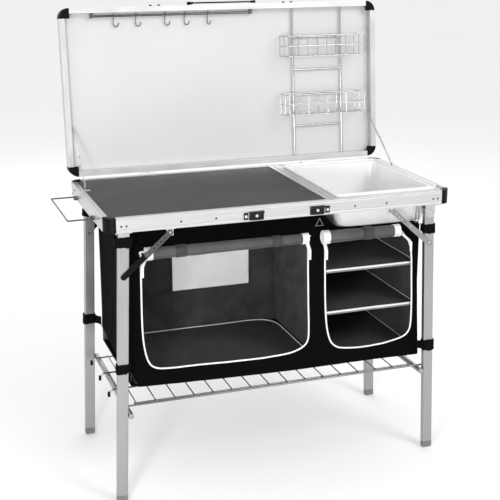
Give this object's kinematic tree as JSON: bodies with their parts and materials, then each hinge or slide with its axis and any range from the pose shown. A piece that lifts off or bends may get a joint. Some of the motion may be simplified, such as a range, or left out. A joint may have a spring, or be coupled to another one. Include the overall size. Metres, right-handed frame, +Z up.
{
  "type": "camp kitchen table",
  "caption": "Folding aluminium camp kitchen: case worktop with sink, upright lid as splash-back with hook rail and spice rack, fabric cabinet and wire shelf between folding legs.",
  "frame": {"origin": "centre of the bounding box in plan, on the ground under the feet", "axes": "+X along the table from the worktop to the sink, +Y towards the lid, +Z up"},
  "size_m": [1.0748, 0.5852, 1.3167],
  "materials": {
    "frame_aluminium": "satin anodised",
    "leg_aluminium": "satin anodised",
    "lid_panel": "matt light grey",
    "worktop": "fine-grained dark grey laminate",
    "sink_plastic": "white, slightly glossy",
    "corner_plastic": "black moulded",
    "foot_rubber": "black ribbed",
    "plated_steel": "zinc plated",
    "dark_steel": "black coated",
    "wire_steel": "dark chrome wire",
    "cabinet_fabric": "black coated woven polyester",
    "board_fabric": "black fabric over stiff board",
    "roll_fabric": "dark grey rolled fabric",
    "webbing": "black webbing",
    "zip_plastic": "white moulded"
  },
  "bodies": {
    "base": {"front_rail": "frame_aluminium", "rear_rail": "frame_aluminium", "side_rails": "frame_aluminium", "base_corners": "corner_plastic", "worktop_panel": "worktop", "sink_frame": "frame_aluminium", "rail_rivets": "plated_steel", "hinge_leaves_base": "plated_steel", "latch_plates": "dark_steel", "towel_rail_clips": "plated_steel", "leg_brackets": "plated_steel", "strut_brackets": "plated_steel", "stay_brackets": "plated_steel", "cabinet_front": "cabinet_fabric", "cabinet_shell": "cabinet_fabric", "cabinet_divider": "cabinet_fabric", "cabinet_boards": "board_fabric", "cabinet_door_rolls": "roll_fabric", "cabinet_straps": "webbing", "cabinet_rings": "wire_steel", "zip_pulls": "zip_plastic"},
    "lid": {"lid_top_rail": "frame_aluminium", "lid_bottom_rail": "frame_aluminium", "lid_side_rails": "frame_aluminium", "lid_corners": "corner_plastic", "lid_panel": "lid_panel", "lid_strikes": "plated_steel", "lid_studs": "corner_plastic", "handle_mounts": "corner_plastic", "hinge_leaves_lid": "plated_steel", "hook_rail": "wire_steel", "spice_ladder": "wire_steel"},
    "legs_left": {"legs_left": "leg_aluminium", "feet_left": "foot_rubber", "crossbar_left": "leg_aluminium"},
    "legs_right": {"legs_right": "leg_aluminium", "feet_right": "foot_rubber", "crossbar_right": "leg_aluminium"},
    "shelf": {"wire_shelf": "wire_steel", "shelf_tips": "corner_plastic"},
    "strut_upper_left": {"strut_upper_left": "plated_steel"},
    "strut_lower_left": {"strut_lower_left": "dark_steel"},
    "strut_upper_right": {"strut_upper_right": "plated_steel"},
    "strut_lower_right": {"strut_lower_right": "plated_steel"},
    "stay_lower_left": {"stay_lower_left": "plated_steel"},
    "stay_lower_right": {"stay_lower_right": "plated_steel"},
    "stay_upper_left": {"stay_upper_left": "plated_steel"},
    "stay_upper_right": {"stay_upper_right": "plated_steel"},
    "handle": {"handle_bail": "corner_plastic"},
    "hook_1": {"hook_1": "wire_steel"},
    "hook_2": {"hook_2": "wire_steel"},
    "hook_3": {"hook_3": "wire_steel"},
    "hook_4": {"hook_4": "wire_steel"},
    "hook_5": {"hook_5": "wire_steel"},
    "basket_upper": {"basket_upper": "wire_steel"},
    "basket_lower": {"basket_lower": "wire_steel"},
    "latch_left": {"latch_lever_left": "dark_steel"},
    "latch_right": {"latch_lever_right": "dark_steel"},
    "sink": {"sink_basin": "sink_plastic"},
    "towel_rail": {"towel_rail": "dark_steel"}
  },
  "joints": [
    {"name": "lid_hinge", "type": "hinge", "parent": "base", "child": "lid", "pos_m": [0.03504, 0.20987, 0.81625], "axis": [-1, 0, 0], "range_deg": [-95.3, 0]},
    {"name": "leg_fold_left", "type": "hinge", "parent": "base", "child": "legs_left", "pos_m": [-0.41496, -0.03963, 0.745], "axis": [0, -1, 0], "range_deg": [0, 80], "deforming": ["cabinet_front", "cabinet_shell", "cabinet_divider", "cabinet_boards", "cabinet_door_rolls", "cabinet_straps", "cabinet_rings", "zip_pulls"]},
    {"name": "leg_fold_right", "type": "hinge", "parent": "base", "child": "legs_right", "pos_m": [0.48504, -0.03963, 0.745], "axis": [0, 1, 0], "range_deg": [0, 74]},
    {"name": "shelf_rise", "type": "slide", "parent": "base", "child": "shelf", "axis": [0, 0, 1], "range_m": [0, 0.4112]},
    {"name": "strut_upper_left", "type": "hinge", "parent": "base", "child": "strut_upper_left", "pos_m": [-0.29096, -0.03963, 0.764], "axis": [0, -1, 0], "range_deg": [0, 79.77]},
    {"name": "strut_lower_left", "type": "hinge", "parent": "legs_left", "child": "strut_lower_left", "pos_m": [-0.41848, -0.03963, 0.65307], "axis": [0, 1, 0], "range_deg": [0, 144.95]},
    {"name": "strut_upper_right", "type": "hinge", "parent": "base", "child": "strut_upper_right", "pos_m": [0.36104, -0.03963, 0.764], "axis": [0, 1, 0], "range_deg": [0, 80.7]},
    {"name": "strut_lower_right", "type": "hinge", "parent": "legs_right", "child": "strut_lower_right", "pos_m": [0.48856, -0.03963, 0.65307], "axis": [0, -1, 0], "range_deg": [0, 131.71]},
    {"name": "stay_lower_left", "type": "hinge", "parent": "base", "child": "stay_lower_left", "pos_m": [-0.44496, 0.06237, 0.825], "axis": [1, 0, 0], "range_deg": [0, 140.68]},
    {"name": "stay_upper_left", "type": "hinge", "parent": "lid", "child": "stay_upper_left", "pos_m": [-0.44496, 0.23748, 0.96182], "axis": [1, 0, 0], "range_deg": [-131.98, 0]},
    {"name": "stay_lower_right", "type": "hinge", "parent": "base", "child": "stay_lower_right", "pos_m": [0.51504, 0.06237, 0.825], "axis": [1, 0, 0], "range_deg": [0, 140.68]},
    {"name": "stay_upper_right", "type": "hinge", "parent": "lid", "child": "stay_upper_right", "pos_m": [0.51504, 0.23748, 0.96182], "axis": [1, 0, 0], "range_deg": [-131.98, 0]},
    {"name": "handle_swing", "type": "hinge", "parent": "lid", "child": "handle", "pos_m": [0.03504, 0.28224, 1.31218], "axis": [-1, 0, 0], "range_deg": [0, 100]},
    {"name": "hook_1_swing", "type": "hinge", "parent": "lid", "child": "hook_1", "pos_m": [-0.30296, 0.26733, 1.28143], "axis": [-1, 0, 0], "range_deg": [0, 60]},
    {"name": "hook_2_swing", "type": "hinge", "parent": "lid", "child": "hook_2", "pos_m": [-0.23596, 0.26733, 1.28143], "axis": [-1, 0, 0], "range_deg": [0, 60]},
    {"name": "hook_3_swing", "type": "hinge", "parent": "lid", "child": "hook_3", "pos_m": [-0.14696, 0.26733, 1.28143], "axis": [-1, 0, 0], "range_deg": [0, 60]},
    {"name": "hook_4_swing", "type": "hinge", "parent": "lid", "child": "hook_4", "pos_m": [-0.08596, 0.26733, 1.28143], "axis": [-1, 0, 0], "range_deg": [0, 60]},
    {"name": "hook_5_swing", "type": "hinge", "parent": "lid", "child": "hook_5", "pos_m": [-0.01396, 0.26733, 1.28143], "axis": [-1, 0, 0], "range_deg": [0, 60]},
    {"name": "basket_upper_lift", "type": "slide", "parent": "lid", "child": "basket_upper", "axis": [0, 0.0924, 0.9957], "range_m": [0, 0.02]},
    {"name": "basket_lower_lift", "type": "slide", "parent": "lid", "child": "basket_lower", "axis": [0, 0.0924, 0.9957], "range_m": [0, 0.02]},
    {"name": "latch_left_swing", "type": "hinge", "parent": "base", "child": "latch_left", "pos_m": [-0.05296, -0.28823, 0.799], "axis": [-1, 0, 0], "range_deg": [0, 110]},
    {"name": "latch_right_swing", "type": "hinge", "parent": "base", "child": "latch_right", "pos_m": [0.12304, -0.28823, 0.799], "axis": [-1, 0, 0], "range_deg": [0, 110]},
    {"name": "sink_lift", "type": "slide", "parent": "base", "child": "sink", "axis": [0, 0, 1], "range_m": [0, 0.12]},
    {"name": "towel_rail_fold", "type": "hinge", "parent": "base", "child": "towel_rail", "pos_m": [-0.46996, -0.01563, 0.783], "axis": [0, 1, 0], "range_deg": [0, 90]}
  ],
  "couplings": [
    {"joint": "leg_fold_right", "follows": "leg_fold_left", "ratio": 0.925},
    {"joint": "shelf_rise", "follows": "leg_fold_left", "m_per_rad": 0.294},
    {"joint": "strut_upper_left", "follows": "leg_fold_left", "ratio": 0.99654},
    {"joint": "strut_lower_left", "follows": "leg_fold_left", "ratio": 1.8112},
    {"joint": "strut_upper_right", "follows": "leg_fold_left", "ratio": 1.0081},
    {"joint": "strut_lower_right", "follows": "leg_fold_left", "ratio": 1.6458},
    {"joint": "stay_lower_left", "follows": "lid_hinge", "ratio": -1.4757},
    {"joint": "stay_upper_left", "follows": "lid_hinge", "ratio": 1.3844},
    {"joint": "stay_lower_right", "follows": "lid_hinge", "ratio": -1.4757},
    {"joint": "stay_upper_right", "follows": "lid_hinge", "ratio": 1.3844}
  ]
}
